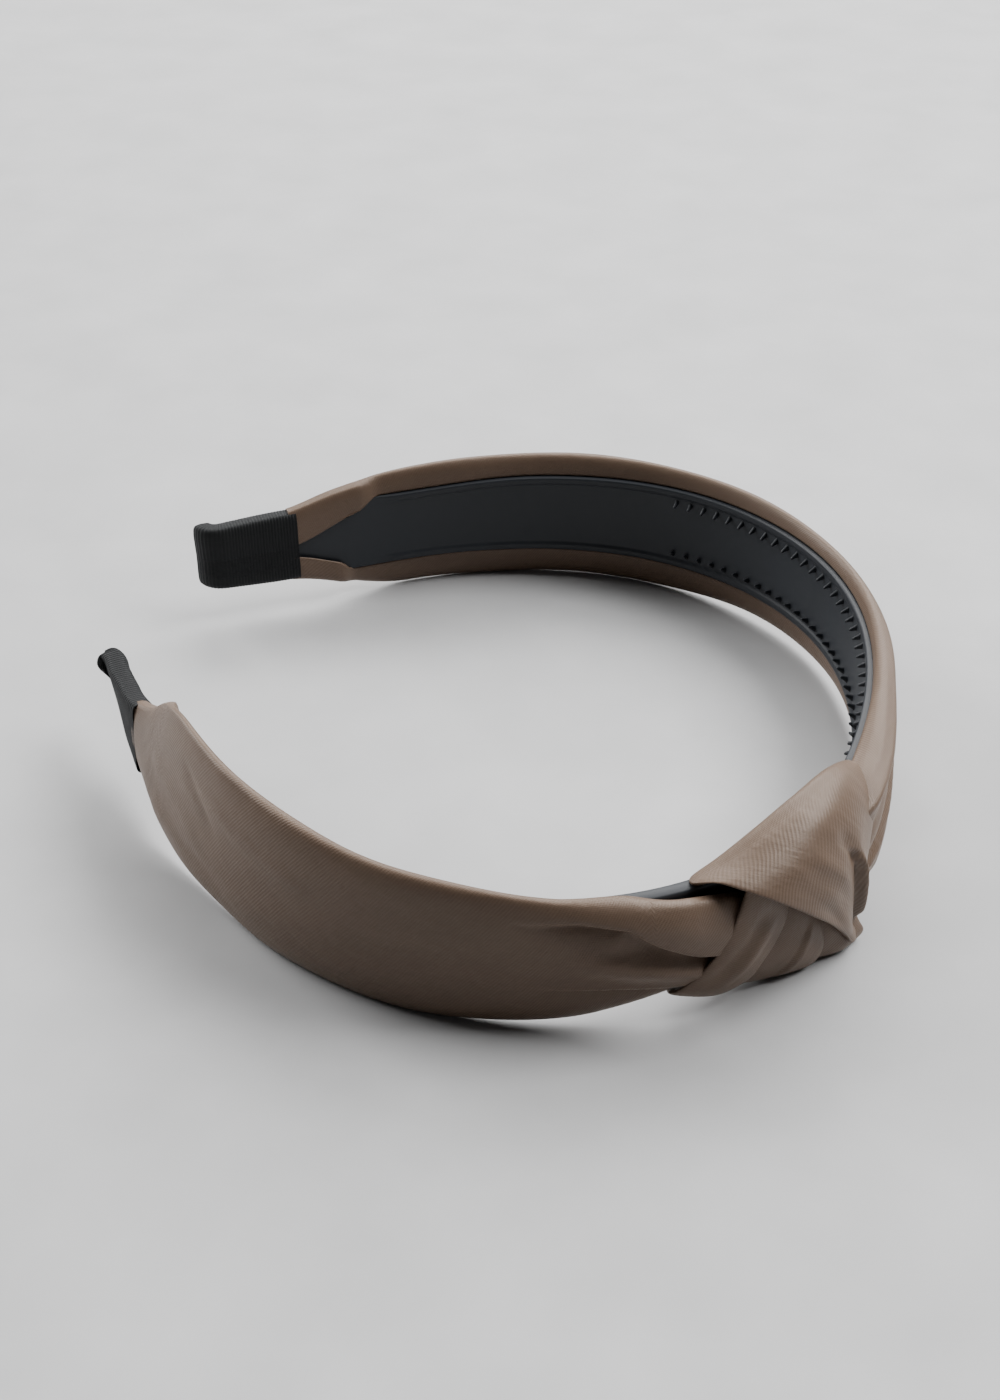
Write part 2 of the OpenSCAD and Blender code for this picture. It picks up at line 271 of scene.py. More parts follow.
def tooth(s, up):
    """One comb tooth: a short peg that leans towards the band's middle."""
    m, h = hoop_mid(s), hoop_half(s) - 1.6
    rings = []
    t = np.linspace(0, 2 * np.pi, TOOTH_SIDES, endpoint=False)
    for depth, half_s, half_z, lean in [
            (.3, .6, .85, 1.25), (-.05, .5, .72, 1.3), (-.5, .42, .55, 1.5), (-.95, .36, .42, 1.7),
            (-1.3, .3, .32, 1.85), (-1.5, .15, .15, 1.95)]:
        z = h - lean + half_z * np.sin(t)
        rings.append(place(s + half_s * np.cos(t), depth, m + (z if up else -z)))
    return np.array(rings)


def build_hoop(name, a, b):
    s = np.linspace(a, b, int(round(b - a)) + 1)
    p = np.array([[place(v, o, z) for o, z in hoop_section(v)] for v in s])
    rows, cols = p.shape[:2]
    verts = [p.reshape(-1, 3)]
    faces = list(map(tuple, grid_faces(rows, cols, wrap=True)))
    faces += [tuple(range(cols - 1, -1, -1)), tuple((rows - 1) * cols + j for j in range(cols))]
    first = rows * cols
    for k in range(-TEETH, TEETH + 1):
        v = k * TOOTH_PITCH
        if a + 1 < v < b - 1:
            for up in (True, False):
                r = tooth(v, up)
                verts.append(r.reshape(-1, 3))
                faces += list(map(tuple, grid_faces(*r.shape[:2], wrap=True, first=first)))
                last = first + (len(r) - 1) * TOOTH_SIDES
                faces += [tuple(last + j for j in range(TOOTH_SIDES)),
                          tuple(first + j for j in range(TOOTH_SIDES - 1, -1, -1))]
                first += len(r) * TOOTH_SIDES
    return make(name, np.concatenate(verts), faces)


# ---------------------------------------------------------------- cover
LIP_INSIDE, LIP_OUTSIDE = -1.05, 2.25  # how far out the cover's edge lies on the hoop's two faces
HEM = 5                                # points of the turned hem at each edge
COVER_COLUMNS = 140
FINE = (-96, 48)                       # the length around the knot with closer rows


def cover_points(s, t, lips):
    """Points of the cover for distances s and shares t of its section. For every s, lips gives the
    top edge and the bottom edge as (inner, open, height): inner 1 is turned onto the hoop's inner
    face as far as that height, open 1 ends in front of its outer face, and 0 and 0 ends over the
    hoop's edge."""
    top, low, outer = bend(COVER_TOP, s), bend(COVER_LOW, s), bend(COVER_OUT, s)
    mid, half = (top + low) / 2, (top - low) / 2
    m, h = hoop_mid(s), hoop_half(s)
    rows = []
    for i, v in enumerate(s):
        ends = []
        for sign, (inner_w, open_w, reach) in ((1, lips(v)[0]), (-1, lips(v)[1])):
            edge = m[i] + sign * (h[i] + .25)
            limit = top[i] if sign > 0 else low[i]
            over = edge if sign * (limit - edge) > .6 else limit - sign * .6
            at = over + (reach - over) * inner_w
            at = at + (limit - sign * 1.2 - at) * open_w
            q = min(.995, max(-.9, sign * (at - mid[i]) / half[i]))
            ang = np.degrees(np.arcsin(np.sign(q) * abs(q) ** (1 / (.8 - .42 * inner_w))))
            ends.append((ang, inner_w, open_w, edge, at))
        a0, a1 = ends[0][0], 360 - ends[1][0]
        ang = np.radians(a0 + (a1 - a0) * t)
        c, sn = np.cos(ang), np.sin(ang)
        up = step(-.35, .35, sn)
        lip_top, lip_low = (LIP_INSIDE * e[1] + LIP_OUTSIDE * e[2] for e in ends)
        inner = lip_top * up + lip_low * (1 - up)
        ho = (outer[i] - inner) / 2
        box = .8 - .42 * (ends[0][1] * up + ends[1][1] * (1 - up)) * step(-.3, .3, c)
        o = inner + ho - ho * np.sign(c) * np.abs(c) ** box
        z = mid[i] + half[i] * np.sign(sn) * np.abs(sn) ** box
        hems = []
        for sign, (_, inner_w, open_w, edge, at), lip in ((1, ends[0], o[0]), (-1, ends[1], o[-1])):
            over = [(lip + .3, edge - sign * .05), (1.1, edge - sign * .1), (1.9, edge - sign * .1),
                    (2.3, edge - sign * .5), (2.4, edge - sign * 3)]
            fold = [(lip - .02, at - sign * .3), (lip + .12, at - sign * .5), (lip + .3, at - sign * .45),
                    (lip + .38, at + sign * .1), (lip + .38, at + sign * 1.4)]
            front = [(2.2, at - sign * .5), (2.2, at - sign * 1), (2.2, at - sign * 2),
                     (2.25, at - sign * 3), (2.3, at - sign * 4)]
            hem = np.array(over)
            hem = hem + (np.array(fold) - hem) * inner_w
            hem = hem + (np.array(front) - hem) * open_w
            hems.append(hem)
        rows.append(np.concatenate([hems[0][::-1], np.stack([o, z], -1), hems[1]]))
    return np.array(rows)


def left_lips(s):
    top = (step(-166, -171, s), step(-75, -64, s), 22.6 - 7.2 * step(-166, -189, s))
    return top, (step(-172, -176, s), 0.0, 7.9 + 4.4 * step(-170, -188, s))


def right_lips(s):
    top = (step(158, 163, s), 0.0, 22.6 - 7.2 * step(158, 181, s))
    return top, (step(164, 168, s), 0.0, 7.9 + 4.4 * step(162, 180, s))


def left_folds(s, z):
    d = lap([(-92, 24.5), (-80, 24.2), (-72.5, 22.5), (-68, 18.5), (-62, 14.6), (-56, 12.2)], s, z,
            (1.2, 2.8), 3.6, 2.2, (.45, 0), .3)
    d += ridge([(-84, 27), (-72, 24.5), (-63, 20.5), (-56, 18)], s, z, .9, 3.6, (.4, 0))
    d += ridge([(-86, 16), (-76, 15), (-68, 13.2), (-60, 10.5)], s, z, 1.5, 2.4, (.5, 0))
    d += lap([(-88, 10.5), (-74, 9.4), (-66, 8.2), (-60, 7)], s, z, (.7, .9), 1.8, 1.6, (.5, 0))
    d += ridge([(-158, 28), (-150, 22), (-146, 17)], s, z, -.35, 1.6)
    d += ridge([(-152, 26.5), (-140, 23), (-120, 20)], s, z, .3, 2.2)
    d += ridge([(-176, 20), (-165, 17), (-150, 13)], s, z, .3, 2.6)
    d += ridge([(-176, 12), (-160, 9), (-140, 6)], s, z, -.3, 2.2)
    d += .16 * ripple(s * .45, z, 3, 12)
    return d


def right_folds(s, z):
    d = ridge([(44, 27.4), (24, 27.2), (8, 26.8), (-8, 26.4), (-20, 25.6),
               (-28, 24)], s, z, .95, .95, (.4, 0))
    d -= ridge([(34, 24.8), (16, 24.4), (0, 23.8), (-14, 22.8), (-27, 20)], s, z, .75, 1.5, (.5, 0))
    d -= lap([(-27, 13.5), (-16, 16.6), (-8, 18.8), (2, 20.6), (14, 21.4), (30, 21.6)], s, z,
             (1.2, .9), 1.8, 2.2, (0, .5), .25)
    d += ridge([(20, 14), (4, 14), (-10, 13), (-22, 11)], s, z, .6, 2.2, (.5, 0))
    d += lap([(20, 9.5), (2, 9.2), (-12, 8.4), (-24, 7)], s, z, (.5, .6), 1.8, 1.8, (.5, 0))
    d += ridge([(48, 24), (70, 22), (92, 19)], s, z, .2, 2.4)
    d += ridge([(150, 9), (165, 8.4), (176, 9)], s, z, .5, 1.6)
    d += .15 * ripple(s * .45, z, 11, 12)
    return d


def build_cover(name, a, b, lips, folds):
    fine = np.arange(max(a, FINE[0]), min(b, FINE[1]), .4)
    s = np.unique(np.concatenate([np.arange(a, b, 1.0), fine, [b]]).round(3))
    s = s[np.concatenate([[True], np.diff(s) > .15])]
    t = np.linspace(0, 1, COVER_COLUMNS)
    q = cover_points(s, t, lips)
    ss = np.broadcast_to(s[:, None], q.shape[:2])
    p = place(ss, q[..., 0], q[..., 1])
    n = -normals(p)
    outward = step(.6, 2.0, q[..., 0])
    outward[:, :HEM], outward[:, -HEM:] = 0, 0
    clear = step(a, a + 9, ss) if a < -150 else step(b, b - 9, ss)  # 0 where the ribbon holds it flat
    p = p + n * (folds(ss, q[..., 1]) * outward * clear)[..., None] * MM
    p[..., 2] = np.maximum(p[..., 2], LOWEST * MM)
    return sheet_mesh(name, p)


# ---------------------------------------------------------------- knot
def curve(values, n):
    """Smooth (Catmull-Rom) interpolation of rows along the first axis to n rows."""
    v = np.array(values, float)
    ext = np.concatenate([[2 * v[0] - v[1]], v, [2 * v[-1] - v[-2]]])
    u = np.linspace(0, len(v) - 1, n)
    i = np.minimum(u.astype(int), len(v) - 2)
    t = (u - i).reshape((-1,) + (1,) * (v.ndim - 1))
    a, b, c, d = ext[i], ext[i + 1], ext[i + 2], ext[i + 3]
    return .5 * (2 * b + (c - a) * t + (2 * a - 5 * b + 4 * c - d) * t ** 2
                 + (3 * b - a - 3 * c + d) * t ** 3)


def strap(rows, inward, roll, n_rows, n_cols):
    """A strap of cloth through rows of band points, its two side edges rolled under."""
    net = []
    for row, inn in zip(rows, inward):
        r, w = np.array(row, float), np.array(inn, float)
        w = w / np.linalg.norm(w)
        first, last = r[1] - r[0], r[-2] - r[-1]
        net.append(np.concatenate([[r[0] + .55 * first + w * roll * 1.7, r[0] + .12 * first + w * roll],
                                   r, [r[-1] + .12 * last + w * roll, r[-1] + .55 * last + w * roll * 1.7]]))
    q = curve(net, n_rows)
    return np.swapaxes(curve(np.swapaxes(q, 0, 1), n_cols), 0, 1)


# Rows of band points. OVER_IN and PLEAT_IN give, for every row, the way its side edges roll under.
# The strand that comes over the hoop's top edge and down across the front: rows from its hidden
# end on the head's side, over the top, to the point; each from the left edge to the right edge
OVER = [
    [(-50, -2.0, 13), (-46, -2.2, 13), (-42, -2.3, 13), (-38, -2.3, 13), (-33, -2.2, 13), (-28, -2.0, 13)],
    [(-56, -2.2, 20), (-51, -2.6, 20.5), (-45, -2.8, 21), (-38, -2.8, 21), (-30, -2.6, 20.5),
     (-22, -2.2, 20)],
    [(-60, -.9, 25.4), (-55, -1.3, 27.2), (-47.5, -1.4, 29.8), (-39, -1.2, 31.6), (-28.5, -1, 31),
     (-18, -.7, 26)],
    [(-60.8, 1.6, 26.8), (-55.3, 1.8, 28.5), (-47.8, 1.9, 31), (-39, 2, 32.6), (-28, 2.2, 32),
     (-17.6, 1.8, 27)],
    [(-57.6, 4.6, 27.8), (-52.6, 5, 28.7), (-46.2, 5.2, 30), (-39, 5.4, 31.2), (-29.4, 5.8, 29.8),
     (-18.6, 5, 25.2)],
    [(-53.6, 7.4, 26.2), (-49.6, 7.2, 27), (-44.6, 7.5, 27.4), (-38.6, 7.9, 27.4), (-31, 8.3, 26),
     (-21.5, 7.2, 22)],
    [(-49.4, 9.0, 23.2), (-46, 8.7, 23.8), (-42, 9.2, 23.6), (-37.4, 9.6, 23), (-32, 9.8, 21.6),
     (-25.5, 8.7, 18.4)],
    [(-44.6, 10.0, 18.6), (-42, 9.9, 19.2), (-39, 10.4, 18.8), (-36, 10.7, 18),
     (-32.2, 10.7, 16.8), (-28.2, 9.6, 14.8)],
    [(-40.2, 10.7, 13.8), (-38.6, 10.5, 14.4), (-36.6, 11, 14), (-34.6, 11.2, 13.2), (-31.8, 11.1, 12.2),
     (-29.8, 10.2, 11)],
    [(-36, 11.2, 8.2), (-35, 11.6, 8), (-33.8, 11.8, 7.6), (-32.9, 11.8, 7.1), (-32, 11.6, 6.8),
     (-31, 10.9, 6.6)],
    [(-32.4, 11.5, 2.6), (-32, 11.7, 2.4), (-31.6, 11.8, 2.2), (-31.2, 11.8, 2.1),
     (-30.8, 11.6, 2), (-30.3, 11.2, 2)],
]
OVER_IN = [(0, 1, 0), (0, 1, 0), (0, .7, -.7), (0, -.2, -1), (0, -.8, -.6), (0, -1, -.2),
           (0, -1, 0), (0, -1, 0),
           (0, -1, 0), (0, -1, 0), (0, -1, .2)]

# Three pleats of the strand that fans out below it, each under the one to its left: down the
# front, round the hoop's bottom edge and up its inner side
PLEATS = [
    [[(-52.6, 5.4, 26), (-49.5, 5.6, 25), (-46.5, 5.4, 23.5), (-43.5, 5.2, 21.5)],
     [(-54.2, 6.4, 21), (-51, 7.0, 20), (-48, 6.9, 18.6), (-45, 6.6, 17)],
     [(-56.4, 6.8, 16), (-53.2, 7.7, 15), (-50, 7.9, 13.8), (-46.8, 7.6, 13)],
     [(-59.6, 6.8, 11.4), (-56.2, 7.8, 10.3), (-52.8, 8.2, 9.2), (-49.6, 7.8, 9)],
     [(-63.8, 6.2, 7.2), (-60, 7, 5.8), (-56, 7.2, 4.6), (-52, 7, 5)],
     [(-65, 4.4, 5.2), (-61.4, 4.8, 3.6), (-57.6, 4.9, 2.4), (-53.8, 5, 2.2)],
     [(-63.4, 1.6, 4.6), (-60, 1.8, 3.2), (-56.6, 1.8, 2.2), (-53, 1.8, 1.8)],
     [(-59, -1.4, 6.2), (-56.4, -1.8, 5.2), (-53.4, -2, 4.4), (-50.4, -2, 4)],
     [(-54, -2.5, 11.4), (-51.8, -2.8, 11), (-49.4, -2.9, 10.8), (-47, -2.7, 10.6)],
     [(-51, -2.5, 17), (-49.4, -2.9, 17), (-47.6, -3, 17), (-46, -2.8, 17)]],
    [[(-47, 4.8, 22.5), (-44, 5.2, 21), (-41, 5.6, 19.5), (-38, 6, 18)],
     [(-48, 5.8, 18), (-44.5, 6.6, 16.8), (-41, 7.2, 15.4), (-37.6, 7.6, 14)],
     [(-50, 6.6, 13), (-46, 7.8, 12), (-42, 8.6, 10.8), (-38.4, 8.9, 9.8)],
     [(-52.5, 6.6, 8), (-48, 8, 7), (-43.5, 9.3, 6), (-39, 10.2, 5.4)],
     [(-55, 5.4, 4.4), (-50, 6.6, 3), (-45, 7.9, 2), (-40.4, 9.4, 1.8)],
     [(-55.5, 3.8, 3), (-50.6, 4.4, 1.6), (-45.6, 5.4, .8), (-40.8, 7, .6)],
     [(-53.5, 1.8, 2.4), (-49.6, 1.9, 1.4), (-45, 2.2, .8), (-40.8, 3, .6)],
     [(-50.6, -1.6, 4.6), (-47.6, -2, 3.8), (-44, -2.2, 3.4), (-40.6, -2.2, 3.2)],
     [(-47, -2.3, 10.8), (-45, -2.6, 10.5), (-42.4, -2.8, 10.4), (-40, -2.7, 10.4)],
     [(-46, -2.3, 17), (-44, -2.7, 17), (-42, -2.9, 17), (-40, -2.8, 17)]],
    [[(-41, 6, 17), (-38, 6.6, 15), (-35, 7.2, 13), (-31, 7.6, 11)],
     [(-41, 7.2, 13), (-37.6, 8.2, 11.4), (-34, 9, 9.6), (-30.2, 9.4, 7.6)],
     [(-41.4, 7.9, 9), (-37.8, 9.4, 7.4), (-34, 10.6, 5.8), (-29.6, 11.2, 4.6)],
     [(-41.6, 8.2, 5.2), (-38, 10, 3.8), (-34.2, 11.6, 2.9), (-29.4, 12.2, 2.8)],
     [(-41.6, 7.4, 2.4), (-38, 9.2, 1.5), (-34.2, 10.8, 1.1), (-29.8, 11.6, 1.3)],
     [(-41.4, 5, 1), (-37.6, 6.4, .6), (-34, 7.6, .5), (-30.4, 8.4, .7)],
     [(-41, 2, 1), (-37.4, 2.6, .7), (-33.8, 3, .7), (-30, 3.4, 1.2)],
     [(-40.6, -1.8, 3.6), (-37.6, -2.1, 3.5), (-34.6, -2, 3.8), (-31.4, -1.4, 4.6)],
     [(-40, -2.4, 10.6), (-38, -2.7, 10.6), (-35.4, -2.7, 11), (-32.6, -2.5, 11.4)],
     [(-40, -2.4, 17), (-38, -2.8, 17), (-35.6, -2.8, 17), (-33, -2.5, 17)]],
]
PLEAT_IN = [(0, -1, 0), (0, -1, 0), (0, -1, 0), (0, -1, 0), (0, -1, .3), (0, -.5, 1), (0, .3, 1), (0, 1, .4),
            (0, 1, 0), (0, 1, 0)]


# The knot stands out along one direction in band coordinates: by so many millimetres in each row,
# and for the strand less and less across the row
TOWARDS = np.array([-.69, .45, .57])
OVER_LIFT = [0, 0, 0, 0, .6, 1.7, 2.6, 3.2, 3.2, 2.6, 1.8]
OVER_ACROSS = [1, 1, .9, .7, .45, .15]
PLEAT_LIFT = [1.6, 1.8, 1.4, .4, -.5, -.3, 0, 0, 0, 0]


def build_over():
    out = TOWARDS * np.array(OVER_LIFT)[:, None, None] * np.array(OVER_ACROSS)[:, None]
    q = strap(OVER + out, OVER_IN, 1.7, 190, 120)
    p = place(q[..., 0], q[..., 1], q[..., 2])
    s, z = q[..., 0], q[..., 2]
    front = step(4, 7, q[..., 1])
    d = lap([(-30.6, 4), (-31.5, 8), (-32.2, 14), (-32.6, 19), (-33.6, 23), (-36.5, 26.5)], s, z,
            (1.3, 2.1), 1.9, 1.5, (.15, .4))
    d += ridge([(-37.5, 29), (-35, 25), (-33.4, 21)], s, z, .6, 1.3, (.4, .2))
    d += ridge([(-47, 28.5), (-41, 22), (-36, 14)], s, z, .22, 1.2, (.3, .3))
    d += ridge([(-44.5, 29.5), (-38.5, 23), (-34.4, 15)], s, z, -.25, 1.0, (.3, .3))
    d += .12 * ripple(s, z, 21, 11)
    p = p - normals(p) * (d * front)[..., None] * MM
    return sheet_mesh("knot_over", p, True)


def build_pleat(k):
    out = TOWARDS * np.array(PLEAT_LIFT)[:, None, None] * (1 - .25 * k)
    q = strap(PLEATS[k] + out, PLEAT_IN, 1.0, 170, 64)
    p = place(q[..., 0], q[..., 1], q[..., 2])
    s, z = q[..., 0], q[..., 2]
    d = .12 * ripple(s, z, 31 + k, 9)
    if k == 0:
        d = d + ridge([(-61, 6.4), (-57, 11), (-53.6, 16), (-50.6, 22)], s, z, .4, 1.2)
        d = d - ridge([(-58.4, 5), (-54.6, 10), (-51.4, 15), (-48.6, 20)], s, z, .35, 1.0)
    if k == 1:
        d = d + lap([(-46.6, 1), (-44.8, 5), (-43, 9.6), (-41, 14)], s, z, (.35, .4), 1.6, 1.2, (.2, .3))
    p = p - normals(p) * (d * step(3.5, 6, q[..., 1]))[..., None] * MM
    p[..., 2] = np.maximum(p[..., 2], LOWEST * MM)
    return sheet_mesh("knot_pleat_%d" % (k + 1), p, True)


# ---------------------------------------------------------------- ribbon
def build_ribbon(name, tip, back):
    """Ribbed ribbon wound once around the hoop's end, folded shut over the tip."""
    away, closing = np.sign(tip), 5
    n = int(abs(tip - back) / .16)
    s = np.linspace(back, tip, n + 1)
    t = np.linspace(0, 2 * np.pi, 64, endpoint=False)
    c, sn = np.cos(t), np.sin(t)
    rows = []
    for k in range(n + closing + 1):
        past = max(0, k - n)
        v = s[min(k, n)] + away * .1 * past
        shut = past / closing
        m, h = hoop_mid(v), hoop_half(v) + .62
        rib = .045 * np.sin(2 * np.pi * v / RIB_PITCH)
        ho, mo = (1.95 + rib) * (1 - .75 * shut ** 2), .85
        o = mo - ho * np.sign(c) * np.abs(c) ** .45
        z = m + (h + rib) * (1 - .03 * shut) * np.sign(sn) * np.abs(sn) ** .22
        step_in = .22 * step(-.3, .3, z - m - 2.0) * step(.2, -.4, o)
        rows.append(place(v, o - step_in, z))
    p = np.array(rows)
    cols = p.shape[1]
    faces = list(map(tuple, grid_faces(len(p), cols, wrap=True, flip=away < 0)))
    last = (len(p) - 1) * cols
    faces += [(last + j, last + j + 1, last + cols - j - 2, last + cols - j - 1)
              for j in range(cols // 2 - 1)]
    uv = np.stack([np.broadcast_to(np.arange(len(p))[:, None] * .016, p.shape[:2]),
                   np.broadcast_to(np.arange(cols)[None, :] * .055, p.shape[:2])], -1)
    return make(name, p.reshape(-1, 3), faces, uv.reshape(-1, 2))


# ---------------------------------------------------------------- wadding and thread
def build_wadding(name, a, b):
    """A strip of wadding that fills the cover's section outside the hoop."""
    sides = 28
    s = np.linspace(a, b, int(abs(b - a) / 2))
    top, low, outer = bend(COVER_TOP, s), bend(COVER_LOW, s), bend(COVER_OUT, s)
    ends = np.sqrt(np.clip(np.minimum(s - a, b - s) / 8, 0.02, 1))
    t = np.linspace(0, 2 * np.pi, sides, endpoint=False)
    rows = []
    for i, v in enumerate(s):
        half = max(.4, (outer[i] - 4.0) / 2) * ends[i]
        high = ((top[i] - low[i]) / 2 - 3.2) * ends[i]
        o = 2.45 + half - half * np.sign(np.cos(t)) * np.abs(np.cos(t)) ** .8
        z = (top[i] + low[i]) / 2 + high * np.sign(np.sin(t)) * np.abs(np.sin(t)) ** .8
        rows.append(place(v, o, z))
    p = np.array(rows)
    faces = list(map(tuple, grid_faces(*p.shape[:2], wrap=True)))
    faces += [tuple(range(sides - 1, -1, -1)), tuple((len(p) - 1) * sides + j for j in range(sides))]
    return make(name, p.reshape(-1, 3), faces)


def tube(points, radius, sides=8):
    """Rings of a round thread along a smooth run of points."""
    p = curve(points, 14)
    d = np.gradient(p, axis=0)
    d /= np.linalg.norm(d, axis=1, keepdims=True)
    a = np.cross(d, (.3, .5, .8))
    a /= np.linalg.norm(a, axis=1, keepdims=True)
    b = np.cross(d, a)
    t = np.linspace(0, 2 * np.pi, sides, endpoint=False)
    c, sn = np.cos(t)[None, :, None], np.sin(t)[None, :, None]
    return p[:, None] + radius * (a[:, None] * c + b[:, None] * sn)


def build_stitches():
    verts, faces, first = [], [], 0
    for v, tilt in ((-45, .5), (-42.4, -.3), (-40, .4), (-37.4, -.5), (-35, .3)):
        pts = [place(v - tilt, -2.6, 15.2), place(v - tilt * .8, -3.55, 15.7), place(v, -3.8, 17.2),
               place(v + tilt * .8, -3.2, 18.7), place(v + tilt, -2.3, 19.2)]
        r = tube(pts, .16 * MM)
        verts.append(r.reshape(-1, 3))
        faces += list(map(tuple, grid_faces(*r.shape[:2], wrap=True, first=first)))
        first += r.shape[0] * r.shape[1]
    return make("stitches", np.concatenate(verts), faces)


# ---------------------------------------------------------------- materials
def nodes_of(name):
    mat = bpy.data.materials.new(name)
    mat.use_nodes = True
    tree = mat.node_tree
    return mat, tree, tree.nodes["Principled BSDF"]


def maths(tree, kind, a, b=None):
    n = tree.nodes.new("ShaderNodeMath")
    n.operation = kind
    for k, v in enumerate((a, b)):
        if v is None:
            continue
        if isinstance(v, (int, float)):
            n.inputs[k].default_value = v
        else:
            tree.links.new(v, n.inputs[k])
    return n.outputs[0]


def noise(tree, vector, scale, detail=3.0, stretch=None):
    if stretch:
        m = tree.nodes.new("ShaderNodeMapping")
        m.inputs["Scale"].default_value = stretch
        tree.links.new(vector, m.inputs["Vector"])
        vector = m.outputs[0]
    n = tree.nodes.new("ShaderNodeTexNoise")
    n.inputs["Scale"].default_value, n.inputs["Detail"].default_value = scale, detail
    tree.links.new(vector, n.inputs["Vector"])
    return n.outputs["Fac"]


def stripes(tree, vector, across, pitch):
    """-1 to 1 in stripes; across is the direction they follow one another in, pitch is in mm."""
    n = tree.nodes.new("ShaderNodeVectorMath")
    n.operation = "DOT_PRODUCT"
    n.inputs[1].default_value = (across[0], across[1], 0)
    tree.links.new(vector, n.inputs[0])
    return maths(tree, "SINE", maths(tree, "MULTIPLY", n.outputs["Value"], 2 * np.pi * 10 / pitch))


def bump(tree, height, distance, strength, after=None):
    n = tree.nodes.new("ShaderNodeBump")
    n.inputs["Distance"].default_value, n.inputs["Strength"].default_value = distance * MM, strength
    tree.links.new(height, n.inputs["Height"])
    if after:
        tree.links.new(after, n.inputs["Normal"])
    return n.outputs[0]


def shade(tree, base, factor):
    """Base colour times a changing factor."""
    n = tree.nodes.new("ShaderNodeMix")
    n.data_type, n.blend_type = "RGBA", "MULTIPLY"
    n.inputs["Factor"].default_value = 1
    n.inputs["A"].default_value = (*base, 1)
    tree.links.new(factor, n.inputs["B"])
    return n.outputs["Result"]


def satin(name, base):
    mat, tree, bsdf = nodes_of(name)
    uv = tree.nodes.new("ShaderNodeTexCoord").outputs["UV"]
    twill = stripes(tree, uv, (.82, .57), .48)
    cross = stripes(tree, uv, (-.35, .94), .3)
    weave = maths(tree, "ADD", maths(tree, "MULTIPLY", twill, .7), maths(tree, "MULTIPLY", cross, .3))
    soft = noise(tree, uv, 1.1, 3, (1, 2.2, 1))
    slub = noise(tree, uv, 14, 4, (1, 3.5, 1))
    f = maths(tree, "ADD", 1.0, maths(tree, "MULTIPLY", weave, .1))
    f = maths(tree, "ADD", f, maths(tree, "MULTIPLY", maths(tree, "SUBTRACT", soft, .5), .16))
    f = maths(tree, "ADD", f, maths(tree, "MULTIPLY", maths(tree, "SUBTRACT", slub, .5), .2))
    tree.links.new(shade(tree, base, f), bsdf.inputs["Base Color"])
    rough = maths(tree, "ADD", .40, maths(tree, "MULTIPLY", slub, .12))
    tree.links.new(rough, bsdf.inputs["Roughness"])
    b = bump(tree, soft, .5, .5)
    b = bump(tree, slub, .05, .5, b)
    tree.links.new(bump(tree, weave, .03, .55, b), bsdf.inputs["Normal"])
    bsdf.inputs["Sheen Weight"].default_value = .1
    bsdf.inputs["Sheen Roughness"].default_value = .45
    bsdf.inputs["Sheen Tint"].default_value = (.85, .70, .58, 1)
    bsdf.inputs["Specular IOR Level"].default_value = .42
    bsdf.inputs["Specular Tint"].default_value = (1, .9, .82, 1)
    return mat


def plastic(name):
    mat, tree, bsdf = nodes_of(name)
    at = tree.nodes.new("ShaderNodeTexCoord").outputs["Object"]
    grain = noise(tree, at, 2200, 2)
    cloud = noise(tree, at, 60, 3)
    f = maths(tree, "ADD", .85, maths(tree, "MULTIPLY", cloud, .3))
    tree.links.new(shade(tree, (.0165, .019, .0235), f), bsdf.inputs["Base Color"])
    tree.links.new(maths(tree, "ADD", .42, maths(tree, "MULTIPLY", cloud, .12)), bsdf.inputs["Roughness"])
    tree.links.new(bump(tree, grain, .02, .35), bsdf.inputs["Normal"])
    bsdf.inputs["Specular IOR Level"].default_value = .32
    return mat


def grosgrain(name):
    mat, tree, bsdf = nodes_of(name)
    uv = tree.nodes.new("ShaderNodeTexCoord").outputs["UV"]
    ribs = stripes(tree, uv, (1, 0), RIB_PITCH)
    yarn = stripes(tree, uv, (0, 1), .35)
    fuzz = noise(tree, uv, 30, 3)
    f = maths(tree, "ADD", .9, maths(tree, "MULTIPLY", ribs, .18))
    f = maths(tree, "ADD", f, maths(tree, "MULTIPLY", fuzz, .25))
    tree.links.new(shade(tree, (.0035, .0042, .005), f), bsdf.inputs["Base Color"])
    b = bump(tree, maths(tree, "ADD", ribs, maths(tree, "MULTIPLY", yarn, .35)), .05, .6)
    tree.links.new(b, bsdf.inputs["Normal"])
    bsdf.inputs["Roughness"].default_value = .66
    bsdf.inputs["Specular IOR Level"].default_value = .25
    bsdf.inputs["Sheen Weight"].default_value = .02
    bsdf.inputs["Sheen Roughness"].default_value = .5
    return mat


def plain(name, base, rough, grain):
    mat, tree, bsdf = nodes_of(name)
    at = tree.nodes.new("ShaderNodeTexCoord").outputs["Object"]
    fluff = noise(tree, at, grain, 4)
    f = maths(tree, "ADD", .85, maths(tree, "MULTIPLY", fluff, .3))
    tree.links.new(shade(tree, base, f), bsdf.inputs["Base Color"])
    tree.links.new(bump(tree, fluff, .3, .4), bsdf.inputs["Normal"])
    bsdf.inputs["Roughness"].default_value = rough
    return mat


# ---------------------------------------------------------------- assembly
SATIN = satin("satin", (.106, .069, .047))
PLASTIC = plastic("hoop_plastic")
BLACK = grosgrain("ribbon")
WADDING = plain("wadding", (.75, .74, .70), .9, 900)
THREAD = plain("thread", (.13, .09, .065), .6, 4000)


def finish(obj, mat, slot, *nodes):
    obj.data.materials.clear()
    obj.data.materials.append(mat)
    if nodes:
        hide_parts(*nodes)
    return obj


